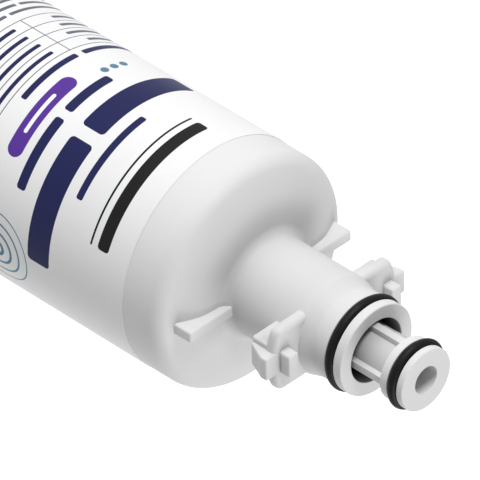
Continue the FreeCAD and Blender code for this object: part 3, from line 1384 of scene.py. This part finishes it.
@dataclass
class FilterCore:
    """Filter block with its wraps and lower end cap, all inside the housing."""

    carbon: PressedCarbon = PressedCarbon()
    fleece: WoundFleece = WoundFleece()
    net: ExtrudedNet = ExtrudedNet()
    cap: MouldedPlastic = END_CAP_PLASTIC

    def build(self) -> None:
        """Gives the pieces inside their finishes."""
        finishes = {"carbon_block": self.carbon, "prefilter_wrap": self.fleece,
                    "netting_sleeve": self.net, "blind_end_cap": self.cap}
        for node, finish in finishes.items():
            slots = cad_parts[node].data.materials
            slots.clear()
            slots.append(finish.material())
            log.info("%s: dressed in %s", node, finish.name)


@dataclass(frozen=True)
class Softbox:
    """A square area lamp that faces a point."""

    name: str
    towards: Triple
    distance: float
    size: float
    level: float

    def light(self, aim: Vector) -> None:
        """Sets the lamp up.

        Args:
            aim: The point that it faces.
        """
        lamp = bpy.data.lights.new(self.name, "AREA")
        lamp.size = self.size
        lamp.energy = self.level * (math.pi * self.distance) ** 2
        held = bpy.data.objects.new(self.name, lamp)
        direction = Vector(self.towards).normalized()
        held.location = aim + direction * self.distance
        held.rotation_euler = direction.to_track_quat("Z", "Y").to_euler()
        held.visible_camera = False
        bpy.context.scene.collection.objects.link(held)


@dataclass
class Studio:
    """Plain white floor, soft lamps, and the camera of the photograph; lengths are in metres."""

    aim: Triple = (0.01543, -0.02603, 0.18975)
    back: Triple = (0.5490, -0.6197, 0.5610)
    up: Triple = (-0.4506, -0.7847, -0.4259)
    distance: float = 2.330
    lens: float = 748.2
    sensor: float = 36.0
    sight: float = 100.0
    floor_size: float = 30.0
    floor_gap: float = 0.0002
    floor_colour: Colour = (0.82, 0.82, 0.82)
    floor_roughness: float = 0.9
    floor_glow: float = 0.45
    sky_level: float = 0.265
    reflected: float = 0.65
    black: Colour = (0, 0, 0)
    white: Colour = (1, 1, 1)
    lamps: tuple[Softbox, ...] = (
        Softbox("front_box", (-0.015, -0.98, 0.21), 1.4, 0.55, 0.82),
        Softbox("back_box", (0.06, 0.81, 0.57), 1.4, 0.9, 0.29),
        Softbox("top_box", (0.0, 0.42, 0.91), 1.4, 0.9, 0.49))

    def seen(self, nodes: Nodes) -> Signal:
        """Tells the rays that show a backdrop to the eye, straight, through or in a reflection.

        Args:
            nodes: The backdrop's node tree.

        Returns:
            1 for a straight ray, less for a reflection, 0 for the rays that only bring light.
        """
        path = nodes.node("ShaderNodeLightPath", {}, {}).outputs
        camera, glossy, through = (
            Signal(nodes, path[name]) for name in ("Is Camera Ray", "Is Glossy Ray", "Is Transmission Ray"))
        return camera | through | glossy * self.reflected

    def floor(self) -> None:
        """Lays the floor, which keeps the object's shadow."""
        deselect()
        bpy.ops.mesh.primitive_plane_add(size=self.floor_size, location=(0, 0, -self.floor_gap))
        floor = bpy.context.object
        floor.name = "floor"
        paint = Paint("floor", {"Base Color": (*self.floor_colour, 1), "Roughness": self.floor_roughness,
                                "Emission Strength": self.floor_glow, "Specular IOR Level": 0.0})
        paint.feed(Emission_Color=paint.blend(self.seen(paint), self.black, self.white))
        floor.data.materials.append(paint.material)

    def sky(self) -> None:
        """Lights the room evenly, white where it is seen."""
        world = bpy.data.worlds.new("studio")
        bpy.context.scene.world = world
        world.use_nodes = True
        nodes = Nodes(world.node_tree)
        strength = self.seen(nodes) * (1 - self.sky_level) + self.sky_level
        light = nodes.value("ShaderNodeBackground", {}, {"Color": (*self.white, 1), "Strength": strength})
        nodes.node("ShaderNodeOutputWorld", {}, {"Surface": light})

    def camera(self) -> None:
        """Puts the camera where the photograph was taken from."""
        data = bpy.data.cameras.new("camera")
        data.lens = self.lens
        data.sensor_width = self.sensor
        data.clip_end = self.sight
        camera = bpy.data.objects.new("camera", data)
        back, up = Vector(self.back).normalized(), Vector(self.up)
        right = up.cross(back).normalized()
        turn = Matrix((right, back.cross(right), back)).transposed()
        camera.matrix_world = Matrix.Translation(Vector(self.aim) + back * self.distance) @ turn.to_4x4()
        bpy.context.scene.collection.objects.link(camera)
        bpy.context.scene.camera = camera

    def build(self) -> None:
        """Sets up floor, light and camera."""
        bpy.context.scene.view_settings.view_transform = "Standard"
        self.floor()
        self.sky()
        for lamp in self.lamps:
            lamp.light(Vector(self.aim))
        self.camera()


def main() -> None:
    """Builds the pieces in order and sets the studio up."""
    logging.basicConfig(level=logging.INFO, format="%(name)s: %(message)s")
    white = WHITE_MOULDING.material()
    rubber = SealRubber().material()
    housing, label = Extent.of("housing"), Extent.of("label")
    Housing(housing).build(white)
    BottomClosure(Extent.of("bottom_cap"), housing.bottom).build(white)
    OutletSpigot(Extent.of("outlet_end_cap")).build(SPIGOT_MOULDING.material())
    for name, node in (("neck_seal", "neck_o_ring"), ("spigot_seal", "spigot_o_ring")):
        Seal(name, node, Extent.of(node)).build(rubber)
    WrapLabel(label).build(PrintedFilm(label.radius).material())
    FilterCore().build()
    Studio().build()


if __name__ == "__main__":
    main()
